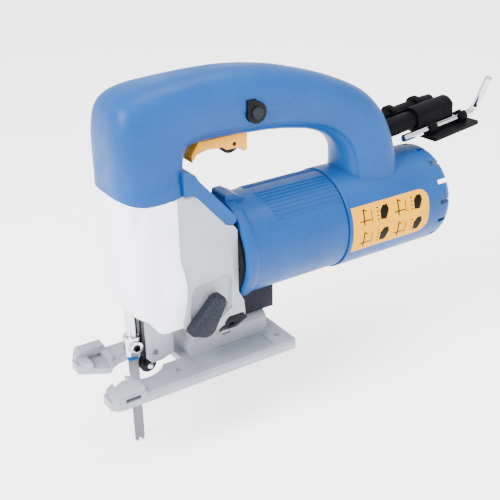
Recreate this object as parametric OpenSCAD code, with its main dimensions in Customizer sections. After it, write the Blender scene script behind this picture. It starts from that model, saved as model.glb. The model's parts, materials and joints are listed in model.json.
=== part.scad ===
// Corded orbital jigsaw with a D-shaped handle and a tilting base.
// +X points to the rear, the saw cuts towards -X, +Z is up and -Y is the left-hand side.
// The origin is the centre of the base plate, on its sole.

/* [Base] */
// Length of the base plate
base_l = 146; // [144:1:150]
// Width of the base plate
base_w = 72; // [72:1:76]
// Thickness of the base plate
base_t = 6.4; // [6:0.1:6.4]
// Diameter of the four accessory holes
accessory_hole_d = 4.4; // [3:0.1:5]
// Height of the tilt axis above the sole
tilt_z = 10; // [10:0.5:11]

/* [Blade and plunger] */
// Width of the saw blade
blade_w = 7.5; // [7:0.1:7.5]
// How far the blade reaches below the sole
blade_reach = 57; // [30:1:100]
// Distance between two blade teeth
tooth_pitch = 2.5; // [1.5:0.1:4]
// Diameter of the plunger rod
plunger_d = 8; // [7:0.5:8]
// Stroke of the plunger
stroke = 20; // [18:1:20]

/* [Motor] */
// Height of the motor axis above the sole
motor_z = 78; // [78:0.5:79]
// Outer radius of the front motor housing
barrel_r = 36.3; // [36:0.1:36.6]
// Outer radius of the rear cover
rear_r = 37.6; // [37.2:0.1:37.8]
// Rear end of the tool
rear_x = 218; // [210:1:226]

/* [Gears] */
// Teeth on the motor pinion
pinion_teeth = 10; // [10:1:10]
// Teeth on the crank gear
crank_teeth = 44; // [44:1:44]
// Gear module
gear_module = 1; // [1:0.1:1]

/* [Shells] */
// Wall thickness of the moulded shells
wall = 2.6; // [2.2:0.1:3]

/* [Hidden] */
$fn = 64;
FACET_FN = 32;

// Colours
BLUE = [0.20, 0.42, 0.70];
COVER_WHITE = [0.90, 0.91, 0.94];
CAST_GREY = [0.78, 0.79, 0.82];
BASE_GREY = [0.76, 0.78, 0.81];
BLACK = [0.09, 0.09, 0.11];
DARK_GREY = [0.27, 0.28, 0.31];
STEEL = [0.72, 0.73, 0.75];
COPPER = [0.72, 0.42, 0.22];
BRASS = [0.80, 0.65, 0.30];
YELLOW = [0.94, 0.74, 0.20];

// Clearances
RUNNING = 0.04;

// Layout along the tool
blade_x = -40;
blade_front_x = blade_x - 3.95;
seam_x = -14.5;
housing_rear_x = 29;
head_half_w = 28.5;
gear_z = motor_z + gear_module * (pinion_teeth + crank_teeth) / 2;
crank_r = stroke / 2;
crank_pin_z = gear_z - crank_r;
gear_x = [-24.5, -17];
gear_axle_r = 4;
shaft_r = 4;
plunger_r = plunger_d / 2;
bushing_r = 6;
bearing_r = 11;
front_bearing_x = [-12, -5];
rear_bearing_x = [168, 174];
lower_bushing_z = [62, 74];
upper_bushing_z = [128, 134];
plunger_top_z = 139;

// Roller and its arm
roller_pos = [-30.2, 5.5];
roller_r = 6.15;
roller_half_w = 2.6;
roller_pin_r = 2;
arm_pivot = [-27, 17];
arm_pin_r = 2;

// Base
saddle_r = 14.5;
saddle_half_w = 12;
saddle_x = [-2, 62];
opening_r = 18;
opening_x = -38;
hole_x = [-16.8, 64.7];
hole_y = 21.9;
fence_slot_x = [-63.8, -52.6];
fence_slot_z = [4.6, 7.8];

// Base clamp and dust channel
CLAMP_BOLT_X = 27.5;
SOCKET_POS = [25.5, 29.8];
SOCKET_R = 3.4;
DUST_Z = [27.5, 34.8];

// Orbital lever, on the left side of the gear housing
lever_pos = [0.5, 40.2];
lever_tip = [9, 56];
lever_heel = [-10.2, 40];
lever_y = [-37.5, -29.3];
LEVER_BEVEL = 1.6;

// Trigger, speed dial and lock button
dial_pos = [41, 153.5];
dial_r = 8;
lock_pos = [52, 175.5];

// Cord guard and the key beside it, in a frame that leaves the handle at its rear
guard_pos = [176, 0, 134];
guard_turn = [0, -3.5, 6];
guard_len = 72;
key_offset = [-9.8, -7.4];
key_across_flats = 5;
key_long = 80;
key_short = 33;
key_lean = 25;

// ---- helpers ----

// Box from three [low, high] ranges
module block(x, y, z) {
    translate([x[0], y[0], z[0]]) cube([x[1] - x[0], y[1] - y[0], z[1] - z[0]]);
}

// Extrudes a shape drawn in (x, z) along Y, centred on y
module side_profile(width, y = 0) {
    translate([0, y, 0]) rotate([90, 0, 0]) linear_extrude(width, center = true) children();
}

// Extrudes a shape drawn in (y, z) along X
module front_profile(x) {
    translate([x[0], 0, 0]) rotate([90, 0, 90]) linear_extrude(x[1] - x[0]) children();
}

module rod_x(x, r, y = 0, z = 0) {
    translate([x[0], y, z]) rotate([0, 90, 0]) cylinder(r = r, h = x[1] - x[0]);
}

module rod_y(y, r, x = 0, z = 0) {
    translate([x, y[0], z]) rotate([-90, 0, 0]) cylinder(r = r, h = y[1] - y[0]);
}

module rod_z(z, r, x = 0, y = 0) {
    translate([x, y, z[0]]) cylinder(r = r, h = z[1] - z[0]);
}

// Ring around an axis parallel to X
module ring_x(x, r_out, r_in, z) {
    difference() {
        rod_x(x, r_out, z = z);
        rod_x([x[0] - 1, x[1] + 1], r_in, z = z);
    }
}

// Places its children at equal angles around the motor axis
module around_motor(count, start = 0) {
    for (i = [0:count - 1])
        translate([0, 0, motor_z]) rotate([start + i * 360 / count, 0, 0]) children();
}

function polar(r, a) = [r * cos(a), r * sin(a)];
function power_sign(v, e) = sign(v) * pow(abs(v), e);

// Point of a superellipse with half axes a and b and exponent n, at the angle t
function superellipse(a, b, n, t) = [a * power_sign(cos(t), 2 / n), b * power_sign(sin(t), 2 / n)];

// Involute gear
PRESSURE_ANGLE = 20;
BACKLASH = 0.06;
function involute(rb, r) = let (a = acos(min(1, rb / r))) tan(a) * 180 / PI - a;
function tooth_angle(rp, rb, half, r) = half + involute(rb, rp) - involute(rb, max(rb, r));
function tooth(n, m, tip_r, root_r) =
    let (rp = n * m / 2,
         rb = rp * cos(PRESSURE_ANGLE),
         half = 90 / n - BACKLASH / rp * 180 / PI,
         start_r = max(rb, root_r),
         steps = 4,
         radii = [root_r, for (k = [0:steps]) start_r + (tip_r - start_r) * k / steps])
    concat([for (r = radii) [r, -tooth_angle(rp, rb, half, r)]],
           [for (k = [len(radii) - 1:-1:0]) [radii[k], tooth_angle(rp, rb, half, radii[k])]]);
function gear_outline(n, m, tip_r, root_r) =
    [for (i = [0:n - 1], p = tooth(n, m, tip_r, root_r)) polar(p[0], p[1] + i * 360 / n)];

// ---- handle ----

// Stations along the D-shaped handle, from the head over the grip to the rear post:
// inner point (x, z), outer point (x, z), half width, exponent of the section
HANDLE = [
    [-1, 133, -50, 133, 28.5, 3.6],
    [-1, 146, -50.3, 164, 28.5, 3.6],
    [0, 152.5, -49.5, 181, 28, 3.4],
    [1.8, 156, -46.5, 192.5, 27, 3.2],
    [4, 158, -39.5, 199.5, 25.5, 3],
    [6.8, 159, -28, 203, 24, 2.9],
    [10, 159.2, -12, 204.6, 22.4, 2.8],
    [15, 159.2, 5, 205.6, 20.8, 2.7],
    [23, 159, 21, 206, 19.6, 2.6],
    [37, 158.5, 39, 205.4, 18.8, 2.6],
    [53, 157.6, 59, 203, 18.4, 2.6],
    [70, 156.4, 79, 199, 18.1, 2.6],
    [87, 154, 98, 193.6, 18, 2.6],
    [103, 150.4, 116, 187.6, 18.1, 2.6],
    [116, 145, 134, 180, 18.5, 2.6],
    [125, 138, 150, 171, 19.2, 2.7],
    [130.5, 129.5, 162.5, 158.5, 20.2, 2.8],
    [132.5, 120, 170.5, 144, 21.4, 3],
    [132.8, 110.5, 176, 126, 22.6, 3.2],
    [132, 99, 180, 99, 24, 3.4]];
SECTION_SIDES = 36;

// One section of the handle, drawn in by the given distance
function handle_section(s, inset) =
    let (inner = [s[0], s[1]],
         outer = [s[2], s[3]],
         span = norm(outer - inner),
         dir = (outer - inner) / span,
         mid = (inner + outer) / 2)
    [for (i = [0:SECTION_SIDES - 1])
        let (p = superellipse(span / 2 - inset, s[4] - inset, s[5], (i + 0.5) * 360 / SECTION_SIDES))
        [mid[0] + dir[0] * p[0], p[1], mid[1] + dir[1] * p[0]]];

// The stations with both ends moved down, so that a drawn-in form opens both ends
function lengthened(list, drop) =
    [for (i = [0:len(list) - 1])
        let (s = list[i], d = (i == 0 || i == len(list) - 1) ? drop : 0)
        [s[0], s[1] - d, s[2], s[3] - d, s[4], s[5]]];

module handle_form(inset = 0) {
    list = lengthened(HANDLE, inset > 0 ? 2 : 0);
    rings = len(list);
    n = SECTION_SIDES;
    points = [for (s = list) each handle_section(s, inset)];
    start_cap = [[for (i = [n - 1:-1:0]) i]];
    end_cap = [[for (i = [0:n - 1]) (rings - 1) * n + i]];
    sides = [for (r = [0:rings - 2], i = [0:n - 1])
        let (a = r * n + i, b = r * n + (i + 1) % n)
        each [[a, b, b + n], [a, b + n, a + n]]];
    polyhedron(points, concat(start_cap, sides, end_cap));
}

// Screw positions that join the two handle halves (x, z)
HANDLE_SCREWS = [[-32, 168], [2, 186], [86, 184], [141, 152]];
SCREW_R = 1.6;
SCREW_HEAD_R = 3.2;
BOSS_R = 4.4;
HEAD_DEPTH = 7;

// Lower front bar of the handle, which lies on the sloping top of the gear housing
module handle_bar() {
    side_profile(2 * head_half_w - 1)
        polygon([[-9, 134], [-2.2, 134], [20.6, 107.6], [26.5, 105.6], [31.5, 109], [31, 114.5],
                 [3, 146.5], [-0.6, 150], [-9, 150]]);
}

module handle_half(side) {
    half = side < 0 ? [-40, 0] : [0, 40];
    difference() {
        union() {
            intersection() {
                difference() {
                    handle_form();
                    handle_form(wall);
                }
                block([-60, 200], half, [90, 220]);
            }
            intersection() {
                handle_bar();
                block([-60, 60], half, [90, 220]);
            }
            intersection() {
                handle_form();
                for (p = HANDLE_SCREWS)
                    rod_y(half, BOSS_R, p[0], p[1]);
            }
        }
        // the front cover closes the underside of the head
        side_profile(80)
            polygon([[-60, 125], [-60, 139.3], [-50, 137.4], [-44, 135.5], [-38, 134.1], [-32, 133.4],
                     [seam_x, 133.4], [seam_x, 125]]);
        // seat on the gear housing and on the rear cover
        block([seam_x - 0.5, -2.2], [-40, 40], [125, 134]);
        rod_x([110, 200], rear_r + 0.05, z = motor_z);
        // room for the fan baffle and the lock button's bezel
        rod_x([housing_rear_x - 0.05, 60], BAFFLE_R + 0.05, z = motor_z);
        block([lock_pos[0] - 7.5, lock_pos[0] + 0.1], [-40, -16.8], [lock_pos[1], lock_pos[1] + 9.2]);
        // trigger slot, lock button hole and cord guard hole
        block([7.5, 52.5], [-8.5, 8.5], [140, 164]);
        rod_y([-40, 0], 7.5, lock_pos[0], lock_pos[1]);
        at_guard() rod_x([-16, 20], 7.2);
        // space over the plunger
        rod_z([130, 170], plunger_r + 2, blade_x);
        for (p = HANDLE_SCREWS) {
            rod_y([-14, 40], SCREW_R, p[0], p[1]);
            rod_y([HEAD_DEPTH, 40], SCREW_HEAD_R + 0.2, p[0], p[1]);
        }
    }
}

module handle_left() color(BLUE) handle_half(-1);

module handle_right() color(BLUE) handle_half(1);

module handle_screws() {
    color(STEEL)
        for (p = HANDLE_SCREWS)
            difference() {
                union() {
                    rod_y([-13, HEAD_DEPTH], SCREW_R - 0.02, p[0], p[1]);
                    rod_y([HEAD_DEPTH, HEAD_DEPTH + 2.4], SCREW_HEAD_R, p[0], p[1]);
                }
                for (turn = [0, 90])
                    translate([p[0], HEAD_DEPTH + 2.4, p[1]]) rotate([0, turn, 0])
                        cube([4, 2.4, 0.8], center = true);
            }
}

// ---- front of the tool ----

// Outline of the head seen from above, from its nose back to x_rear; the sides are drawn in
// by a share of the inset
module head_plan(inset, x_rear, side_share = 1) {
    mid_x = -25.5;
    steps = 24;
    side = head_half_w - inset * side_share;
    polygon(concat(
        [for (i = [0:steps])
            let (p = superellipse(24.5 - inset, side, 3.6, 90 + 180 * i / steps))
            [mid_x + p[0], p[1]]],
        [[x_rear, -side], [x_rear, side]]));
}

// Heights and insets of the cover's plan, which draws in towards the nose's lower rim
NOSE = [[52, 6.3], [56.5, 3.4], [62, 1.4], [68, 0.4], [75, 0], [140, 0]];

module cover_form() {
    intersection() {
        union() {
            hull()
                for (level = NOSE)
                    translate([0, 0, level[0]]) linear_extrude(0.05) head_plan(level[1], seam_x, 0.08);
            // cheek on each side, below the nose
            for (side = [-1, 1])
                side_profile(19, side * 18.35)
                    polygon([[seam_x, 41.5], [-28, 41.5], [-31.4, 43], [-33.4, 47], [-34.5, 53],
                             [seam_x, 53]]);
        }
        side_profile(70)
            polygon([[seam_x, 40], [-60, 40], [-60, 138.9], [-50, 137.1], [-44, 135.2], [-38, 133.8],
                     [-32, 133.1], [seam_x, 133.1]]);
    }
}

COVER_SCREWS = [[-21, 62], [21, 62], [-21, 130.2], [21, 130.2]];
COVER_SCREW_X = [-24, -6];

module front_cover() {
    color(COVER_WHITE)
    difference() {
        cover_form();
        // gear and yoke space
        translate([0, 0, lower_bushing_z[1] - 4])
            linear_extrude(upper_bushing_z[0] - lower_bushing_z[1] + 4)
                head_plan(3.4, seam_x + 1);
        // plunger guides
        rod_z([lower_bushing_z[0], lower_bushing_z[1]], bushing_r, blade_x);
        rod_z([upper_bushing_z[0] - 1, 150], bushing_r, blade_x);
        rod_z([40, lower_bushing_z[0] + 1], plunger_r + 0.6, blade_x);
        // place of the roller arm's top
        block([-36, -24.5], [-5.6, 5.6], [40, 60]);
        for (p = COVER_SCREWS)
            rod_x([COVER_SCREW_X[0] - 1, 0], 1.7, p[0], p[1]);
        // round pocket on each side
        for (side = [-1, 1])
            rod_y(side < 0 ? [-32, -25.2] : [25.2, 32], 5.2, -41.4, 128.9);
    }
}

// Screws that hold the front cover, put in from behind
module cover_screws() {
    color(STEEL)
        for (p = COVER_SCREWS)
            difference() {
                union() {
                    rod_x(COVER_SCREW_X, 1.68, p[0], p[1]);
                    rod_x([COVER_SCREW_X[1], COVER_SCREW_X[1] + 3], 3, p[0], p[1]);
                }
                translate([COVER_SCREW_X[1] + 1.2, p[0], p[1]]) rotate([0, 90, 0])
                    cylinder(r = 1.5, h = 3, $fn = 6);
            }
}

module gear_housing() {
    color(CAST_GREY)
    difference() {
        intersection() {
            front_profile([seam_x, 40])
                polygon([[-12.3, 18.2], [-28, 33.9], [-28.5, 40], [-28.5, 131], [-26, 134],
                         [26, 134], [28.5, 131], [28.5, 40], [28, 33.9], [12.3, 18.2]]);
            side_profile(70)
                polygon([[seam_x, 134], [-2.2, 134], [20.6, 107.6], [26.5, 105.6],
                         [housing_rear_x, 102], [housing_rear_x, 56], [33, 48], [34, 37], [34, 15],
                         [-2, 15], [-2, 31], [-8, 38], [seam_x, 41]]);
        }
        // tilt seat on the base saddle
        rod_x([-10, 50], saddle_r + 0.1, z = tilt_z);
        // room for the fan baffle and the motor flange
        rod_x([housing_rear_x, 60], BAFFLE_R + 0.05, z = motor_z);
        rod_x([FLANGE_X[0] - 0.05, 60], FLANGE_R + 0.05, z = motor_z);
        // motor side
        rod_x([-3, 60], 26, z = motor_z);
        rod_x([front_bearing_x[0], 0], bearing_r, z = motor_z);
        rod_x([-20, 0], 6.5, z = motor_z);
        // gear axle
        rod_x([-20, -2.5], gear_axle_r, z = gear_z);
        // orbital shaft
        rod_y([-30, 12], gear_axle_r + RUNNING, lever_pos[0], lever_pos[1]);
        // recess behind the lever
        side_profile(2, -28.5)
            polygon([[-5, 37], [-5, 58], [1, 66], [18, 73], [23, 70], [23, 46], [10, 37]]);
        // dust channel from the blade to the nozzle, around the post of the clamp bolt
        difference() {
            block([-20, 40], [-10, 10], DUST_Z);
            rod_z([20, 40], 4.6, CLAMP_BOLT_X);
        }
        // front cover screws
        for (p = COVER_SCREWS) {
            rod_x([-20, 0], 1.7, p[0], p[1]);
            rod_x([COVER_SCREW_X[1], 24], 3.3, p[0], p[1]);
        }
        // base clamp bolt
        rod_z([10, 44], 3, CLAMP_BOLT_X);
        // place of the clamp block and its key socket
        clamp_block_form();
        rod_y([-30, -11.5], SOCKET_R, SOCKET_POS[0], SOCKET_POS[1]);
    }
}

module roller_bracket() {
    color(CAST_GREY)
    difference() {
        side_profile(17)
            polygon([[-33, 13], [-30, 9.4], [-22, 9.4], [-13.2, 12.6], [-13.2, 39.8], [-14.6, 40.5],
                     [-14.6, 51.8], [-33, 51.8]]);
        block([-40, -22], [-5.5, 5.5], [0, 60]);
        rod_y([-20, 20], arm_pin_r, arm_pivot[0], arm_pivot[1]);
        block([-23, -10], [-6, 6], DUST_Z);
    }
}

module arm_pin() color(STEEL) rod_y([-8.9, 8.9], arm_pin_r, arm_pivot[0], arm_pivot[1]);

module gear_axle() {
    color(STEEL)
    union() {
        rod_x([gear_x[0] - 1.4, -2.5], gear_axle_r, z = gear_z);
        rod_x([gear_x[0] - 2.4, gear_x[0] - 0.4], 5.4, z = gear_z);
    }
}

module front_bearing() color(STEEL) ring_x(front_bearing_x, bearing_r, shaft_r + RUNNING, motor_z);

module rear_bearing() color(STEEL) ring_x(rear_bearing_x, 9, shaft_r + RUNNING, motor_z);

module bushing(z) {
    difference() {
        rod_z(z, bushing_r, blade_x);
        rod_z([z[0] - 1, z[1] + 1], plunger_r + RUNNING, blade_x);
    }
}

module lower_bushing() color(BRASS) bushing(lower_bushing_z);

module upper_bushing() color(BRASS) bushing(upper_bushing_z);

// ---- motor ----

FLANGE_X = [31.5, 39];
FLANGE_R = 38;
BAFFLE_R = 34;
COVER_FRONT_X = 118;
// The motor housing's full radius ends here, which leaves a narrow groove
STEP_X = COVER_FRONT_X - 0.6;
RIB_COUNT = 9;
RIB_START = 10;
RIB_STEP = 5;
// Front end of the topmost rib, and how much farther back each next one starts
RIB_FRONT_X = [57, 0.6];

module fan_baffle() {
    color(BLACK)
    difference() {
        union() {
            rod_x([housing_rear_x, FLANGE_X[0]], BAFFLE_R, z = motor_z);
            rod_x([FLANGE_X[0], FLANGE_X[0] + 4], barrel_r - 3.4, z = motor_z);
        }
        rod_x([20, 50], 18, z = motor_z);
        around_motor(12, 15) block([housing_rear_x - 1, 40], [-3.5, 3.5], [22, 30]);
    }
}

module motor_housing() {
    color(BLUE)
    difference() {
        union() {
            rod_x(FLANGE_X, FLANGE_R, z = motor_z);
            rod_x([FLANGE_X[1], STEP_X], barrel_r, z = motor_z);
            rod_x([STEP_X, 150], rear_r - wall - 0.1, z = motor_z);
            // raised key on top of the flange
            side_profile(18)
                polygon([[FLANGE_X[0], motor_z + FLANGE_R - 3], [FLANGE_X[0], motor_z + FLANGE_R + 3],
                         [FLANGE_X[1], motor_z + FLANGE_R + 3], [48, motor_z + barrel_r],
                         [48, motor_z + barrel_r - 2.6], [FLANGE_X[1], motor_z + barrel_r - 2.6]]);
            // grip ribs on the upper left and upper right, shorter towards the bottom
            for (side = [-1, 1], i = [0:RIB_COUNT - 1])
                translate([0, 0, motor_z]) rotate([side * (RIB_START + i * RIB_STEP), 0, 0])
                    block([RIB_FRONT_X[0] + i * RIB_FRONT_X[1], COVER_FRONT_X - 1], [-0.7, 0.7],
                          [barrel_r - 1, barrel_r + 0.6]);
        }
        rod_x([FLANGE_X[0] - 1, FLANGE_X[0] + 4], barrel_r - 3.4, z = motor_z);
        rod_x([FLANGE_X[0] + 4, 151], 33, z = motor_z);
        // the top of the spigot is open for the wires from the handle
        block([130, 151], [-10, 10], [motor_z + 20, motor_z + 50]);
    }
}

VENT_COUNT = 15;

module rear_cover() {
    corner_r = 13;
    steps = 8;
    web_t = 5;
    color(BLUE)
    difference() {
        union() {
            difference() {
                translate([0, 0, motor_z]) rotate([0, 90, 0])
                    rotate_extrude() polygon(concat(
                        [[0, COVER_FRONT_X], [rear_r, COVER_FRONT_X]],
                        [for (i = [0:steps])
                            let (p = polar(corner_r, 90 * i / steps))
                            [rear_r - corner_r + p[0], rear_x - corner_r + p[1]]],
                        [[0, rear_x]]));
                rod_x([COVER_FRONT_X - 1, rear_x - corner_r - wall], rear_r - wall, z = motor_z);
                rod_x([COVER_FRONT_X, rear_x - wall], rear_r - wall - corner_r + 4, z = motor_z);
            }
            // bearing seat on three spokes
            rod_x([rear_bearing_x[0] - 1, rear_bearing_x[1] + 3], 12, z = motor_z);
            around_motor(3) block([rear_bearing_x[1] - web_t, rear_bearing_x[1]], [-3, 3], [8, rear_r - 1]);
        }
        rod_x([rear_bearing_x[0] - 2, rear_bearing_x[1]], 9, z = motor_z);
        rod_x([rear_bearing_x[0] - 2, rear_bearing_x[1] + 4], 5.5, z = motor_z);
        // air inlets around the rear rim
        around_motor(VENT_COUNT, 12) block([rear_x - 14, rear_x + 1], [-1.6, 1.6], [18, 40]);
        // wires from the handle
        block([138, 160], [-8, 8], [motor_z + 25, motor_z + 50]);
    }
}

STATOR_X = [74, 118];
CORE_X = [76, 116];
CORE_R = 17.5;

module stator_core() {
    color(STEEL)
    difference() {
        rod_x(STATOR_X, 33, z = motor_z);
        rod_x([60, 130], CORE_R + 0.6, z = motor_z);
        // windows for the field coils
        around_motor(4, 45) block([60, 130], [-4.5, 4.5], [15, 28]);
    }
}

// Half ring at each end of the stator, above and below the armature
module field_coils() {
    color(COPPER)
        for (x = [STATOR_X[0] - 9, STATOR_X[1]], side = [-1, 1])
            intersection() {
                ring_x([x, x + 9], 29, 20, motor_z);
                block([x - 1, x + 10], [-40, 40], side < 0 ? [40, motor_z - 4] : [motor_z + 4, 120]);
            }
}

BRUSH_X = [138.5, 145.5];
COMMUTATOR_X = [134, 150];
COMMUTATOR_R = 11.5;

module brush_plate() {
    color(BLACK)
    difference() {
        rod_x([150, 153], 32.5, z = motor_z);
        rod_x([149, 160], 13, z = motor_z);
        around_motor(4, 45) rod_x([149, 160], 4, z = 24);
    }
}

module brush_holders() {
    shell = 0.8;
    color(BRASS)
        for (side = [-1, 1])
            scale_side(side)
                difference() {
                    union() {
                        block([BRUSH_X[0] - shell, BRUSH_X[1] + shell], [13, 28],
                              [motor_z - 4.5 - shell, motor_z + 4.5 + shell]);
                        block([BRUSH_X[1], 150], [16, 26], [motor_z - 4, motor_z + 4]);
                    }
                    block(BRUSH_X, [12, 26.5], [motor_z - 4.5, motor_z + 4.5]);
                }
}

// Mirrors its children to the other side of the tool for side = -1
module scale_side(side) {
    if (side < 0)
        mirror([0, 1, 0]) children();
    else
        children();
}

module carbon_brushes() {
    color(DARK_GREY)
        for (side = [-1, 1])
            scale_side(side)
                difference() {
                    block(BRUSH_X, [COMMUTATOR_R - 2, 25], [motor_z - 4.5, motor_z + 4.5]);
                    rod_x([130, 155], COMMUTATOR_R + 0.08, z = motor_z);
                }
}

module armature_shaft() {
    color(STEEL)
    union() {
        rod_x([-15, 178], shaft_r, z = motor_z);
        translate([gear_x[0], 0, motor_z]) rotate([90, 0, 90])
            linear_extrude(-15 - gear_x[0]) rotate(180 / pinion_teeth)
                polygon(gear_outline(pinion_teeth, gear_module, 6, 3.9));
    }
}

module armature_core() {
    slots = 12;
    color(STEEL)
    difference() {
        rod_x(CORE_X, CORE_R, z = motor_z);
        rod_x([70, 120], shaft_r, z = motor_z);
        around_motor(slots) block([70, 120], [-0.9, 0.9], [CORE_R - 3, CORE_R + 1]);
    }
}

module armature_windings() {
    color(COPPER)
        for (x = [CORE_X[0] - 6, CORE_X[1]])
            ring_x([x, x + 6], 15.5, shaft_r, motor_z);
}

module commutator() {
    bars = 24;
    color(COPPER)
    difference() {
        ring_x(COMMUTATOR_X, COMMUTATOR_R, shaft_r, motor_z);
        around_motor(bars) block([133, 151], [-0.25, 0.25], [COMMUTATOR_R - 1, COMMUTATOR_R + 1]);
    }
}

module cooling_fan() {
    blades = 12;
    color(BLACK)
    difference() {
        union() {
            rod_x([48, 62], 7, z = motor_z);
            rod_x([60, 62], 27, z = motor_z);
            around_motor(blades) block([49, 61], [-0.9, 0.9], [6, 30]);
        }
        rod_x([40, 70], shaft_r, z = motor_z);
    }
}

// ---- crank and plunger ----

module crank_gear() {
    color(STEEL)
    difference() {
        translate([gear_x[0], 0, gear_z]) rotate([90, 0, 90])
            linear_extrude(gear_x[1] - gear_x[0]) rotate(180 / crank_teeth)
                polygon(gear_outline(crank_teeth, gear_module, 22.6, 20.75));
        rod_x([-40, 0], gear_axle_r + RUNNING, z = gear_z);
        rod_x([-40, 0], 3, z = crank_pin_z);
        for (a = [60, 120, 180, 240, 300])
            translate([0, 0, gear_z]) rotate([a + 180, 0, 0]) rod_x([-40, 0], 3.6, z = 13.5);
        ring_x([gear_x[0] - 1, gear_x[0] + 0.6], 7, 2, gear_z);
    }
}

CRANK_PIN_FRONT_X = -30.5;

module crank_pin() {
    color(STEEL)
    union() {
        rod_x([gear_x[0], gear_x[1]], 3, z = crank_pin_z);
        rod_x([CRANK_PIN_FRONT_X, gear_x[0]], 4, z = crank_pin_z);
    }
}

module counterweight() {
    color(DARK_GREY)
    difference() {
        rod_x([gear_x[0] - 3, gear_x[0]], 19.5, z = gear_z);
        rod_x([gear_x[0] - 4, gear_x[0] + 1], 8, z = gear_z);
        block([gear_x[0] - 4, gear_x[0] + 1], [-30, 30], [gear_z - 30, gear_z + 4]);
    }
}

YOKE_X = [-35.5, -31];

module plunger_rod() color(STEEL) rod_z([27, plunger_top_z], plunger_r, blade_x);

module plunger_yoke() {
    slot_r = 4.15;
    color(STEEL)
    difference() {
        union() {
            block(YOKE_X, [-(crank_r + slot_r + 3.6), crank_r + slot_r + 3.6],
                  [crank_pin_z - slot_r - 3.6, crank_pin_z + slot_r + 3.6]);
            rod_z([crank_pin_z - 5, crank_pin_z + 5], plunger_r + 2.2, blade_x);
        }
        rod_z([60, 130], plunger_r, blade_x);
        block([-38, -25], [-crank_r, crank_r], [crank_pin_z - slot_r, crank_pin_z + slot_r]);
        for (side = [-1, 1])
            rod_x([-34.9, -25], slot_r, side * crank_r, crank_pin_z);
    }
}

CLAMP_Z = [17, 31];
CLAMP_SCREW_Z = 24.5;

module blade_clamp() {
    color(STEEL)
    difference() {
        union() {
            rod_z(CLAMP_Z, 6, blade_x);
            rod_y([-8.4, 0], 4.6, blade_x - 0.6, CLAMP_SCREW_Z);
        }
        rod_z([27, 32], plunger_r, blade_x);
        block([blade_front_x - 0.05, blade_front_x + blade_w + 0.05], [-0.7, 0.7], [10, 27]);
        rod_y([-10, 0], 2.5, blade_x - 0.6, CLAMP_SCREW_Z);
    }
}

module clamp_screw() {
    color(STEEL)
    difference() {
        rod_y([-9, -0.75], 2.5, blade_x - 0.6, CLAMP_SCREW_Z);
        translate([blade_x - 0.6, -9.1, CLAMP_SCREW_Z]) rotate([-90, 0, 0])
            cylinder(r = 1.6, h = 2.6, $fn = 6);
    }
}

// Side view of the blade: shank, toothed front edge and notched tip
module blade() {
    front = blade_front_x;
    back = front + blade_w;
    teeth_top = 1;
    gullet = 1.2;
    count = floor((blade_reach + teeth_top - 3) / tooth_pitch);
    color(STEEL)
        side_profile(1.3)
            polygon(concat(
                [[back, 26.8], [front, 26.8], [front, teeth_top]],
                [for (i = [0:count - 1])
                    let (z = teeth_top - i * tooth_pitch)
                    each [[front + gullet, z - 0.7], [front, z - tooth_pitch]]],
                [[front + 1.6, -blade_reach], [front + blade_w / 2, -blade_reach + 3.4],
                 [back - 1.2, -blade_reach], [back, -blade_reach + 4]]));
}

// ---- roller ----

module roller_arm() {
    color(BLACK)
    difference() {
        union() {
            side_profile(10)
                polygon([[-31.4, 51.5], [-31.4, 16], [-33.2, 12], [-33.2, 5.5], [-30.2, 2.5],
                         [-27, 5.5], [-25.2, 12], [-24.6, 17], [-25, 24], [-26.6, 51.5]]);
            rod_y([-5, 5], 3.6, arm_pivot[0], arm_pivot[1]);
        }
        rod_y([-8, 8], arm_pin_r + RUNNING, arm_pivot[0], arm_pivot[1]);
        // room for the roller
        rod_y([-roller_half_w - 0.2, roller_half_w + 0.2], roller_r + 0.5, roller_pos[0], roller_pos[1]);
        rod_y([-8, 8], roller_pin_r, roller_pos[0], roller_pos[1]);
    }
}

module roller_pin() color(STEEL) rod_y([-5.6, 5.6], roller_pin_r, roller_pos[0], roller_pos[1]);

module roller() {
    color(DARK_GREY)
    difference() {
        rod_y([-roller_half_w, roller_half_w], roller_r, roller_pos[0], roller_pos[1]);
        rod_y([-5, 5], roller_pin_r + RUNNING, roller_pos[0], roller_pos[1]);
        // groove that guides the back of the blade
        difference() {
            rod_y([-0.8, 0.8], roller_r + 1, roller_pos[0], roller_pos[1]);
            rod_y([-1, 1], roller_r - 0.5, roller_pos[0], roller_pos[1]);
        }
    }
}

// ---- lever, base ----

module orbital_lever() {
    color(DARK_GREY)
    difference() {
        union() {
            hull() {
                for (b = [0, LEVER_BEVEL]) {
                    y = [lever_y[0] + LEVER_BEVEL - b, lever_y[1]];
                    rod_y(y, 7.6 - b, lever_pos[0] - 1.4, lever_pos[1] + 1, $fn = FACET_FN);
                    rod_y(y, 3.2 - b, lever_heel[0], lever_heel[1], $fn = FACET_FN);
                    rod_y(y, 5.8 - b, lever_tip[0], lever_tip[1], $fn = FACET_FN);
                }
            }
            rod_y([lever_y[1] - 1, -28.8], 6.4, lever_pos[0], lever_pos[1]);
        }
        rod_y([-34, -28], 2.5, lever_pos[0], lever_pos[1]);
    }
}

module orbital_shaft() {
    color(STEEL)
    union() {
        rod_y([-28.7, 11.5], gear_axle_r, lever_pos[0], lever_pos[1]);
        rod_y([-34, -28.7], 2.5, lever_pos[0], lever_pos[1]);
    }
}

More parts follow.
